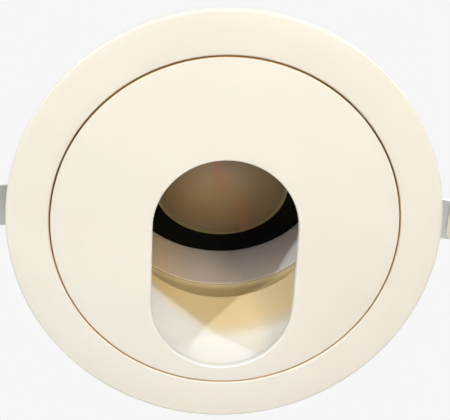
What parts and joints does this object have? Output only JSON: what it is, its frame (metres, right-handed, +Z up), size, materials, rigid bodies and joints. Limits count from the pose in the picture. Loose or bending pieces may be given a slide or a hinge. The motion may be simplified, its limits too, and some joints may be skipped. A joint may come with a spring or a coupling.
{
  "type": "recessed spotlight",
  "caption": "Round recessed ceiling spotlight with a flush turning face disc, a long slot, a cone baffle and a tilting lamp head, held in the ceiling by sprung clips.",
  "frame": {"origin": "centre of the trim ring on the ceiling's surface, at the flange's back face", "axes": "+Z up into the ceiling along the collar's axis, +Y along the slot towards the end that the beam leans to, +X along the tilt axis"},
  "size_m": [0.146, 0.11, 0.0838],
  "materials": {
    "cream_paint": "satin cream powder coat",
    "zinc_steel": "zinc plated",
    "screw_steel": "zinc plated, turned",
    "clip_steel": "bright pressed strip",
    "spring_steel": "bright wire",
    "black_rubber": "matt",
    "pale_rubber": "soft sleeve",
    "white_nylon": "moulded",
    "black_nylon": "moulded",
    "grey_pad": "soft silicone",
    "black_paint": "matt black",
    "bright_tube": "polished and anodised",
    "reflector_bright": "satin metallised",
    "lens_glass": "faintly tinted, lightly frosted",
    "board": "white solder mask",
    "led_phosphor": "yellow phosphor under silicone",
    "black_anodised": "black anodised casting"
  },
  "bodies": {
    "trim": {"trim_ring": "cream_paint", "glide_ring": "white_nylon", "stop_pin": "screw_steel", "clip_pin_left": "screw_steel", "clip_pin_right": "screw_steel"},
    "rotor": {"face_disc": "cream_paint", "cone_baffle": "cream_paint", "turntable_ring": "zinc_steel", "turntable_screws": "screw_steel", "yoke_arm_left": "zinc_steel", "yoke_arm_right": "zinc_steel", "yoke_screws": "screw_steel"},
    "head": {"pivot_screw_left": "screw_steel", "pivot_screw_right": "screw_steel", "friction_washers": "white_nylon", "spring_washers": "screw_steel", "lamp_cup": "black_paint", "polished_tube": "bright_tube", "front_bezel": "black_paint", "lens": "lens_glass", "reflector_bowl": "reflector_bright", "led_board": "board", "led_chip": "led_phosphor", "led_holder": "white_nylon", "led_screws": "screw_steel", "thermal_pad": "grey_pad", "heat_sink": "black_anodised", "heat_sink_screws": "screw_steel", "cable_gland": "black_nylon", "gland_cap": "black_nylon", "gland_seal": "black_rubber"},
    "clip_left": {"clip_arm_left": "clip_steel", "clip_pad_left": "pale_rubber", "clip_spring_left": "spring_steel"},
    "clip_right": {"clip_arm_right": "clip_steel", "clip_pad_right": "pale_rubber", "clip_spring_right": "spring_steel"}
  },
  "joints": [
    {"name": "face_turn", "type": "hinge", "parent": "trim", "child": "rotor", "pos_m": [0, 0, 0], "axis": [0, 0, 1], "range_deg": [-177.5, 177.5]},
    {"name": "head_tilt", "type": "hinge", "parent": "rotor", "child": "head", "pos_m": [0, 0, 0.032], "axis": [1, 0, 0], "range_deg": [-25, 5]},
    {"name": "clip_right_fold", "type": "hinge", "parent": "trim", "child": "clip_right", "pos_m": [0.0409, 0, 0.01928], "axis": [0, -1, 0], "range_deg": [0, 105], "stiffness_Nm_per_rad": 0.055, "springref_deg": -68.75, "deforming": ["clip_spring_right"]},
    {"name": "clip_left_fold", "type": "hinge", "parent": "trim", "child": "clip_left", "pos_m": [-0.0409, 0, 0.01928], "axis": [0, 1, 0], "range_deg": [0, 105], "stiffness_Nm_per_rad": 0.055, "springref_deg": -68.75, "deforming": ["clip_spring_left"]}
  ]
}
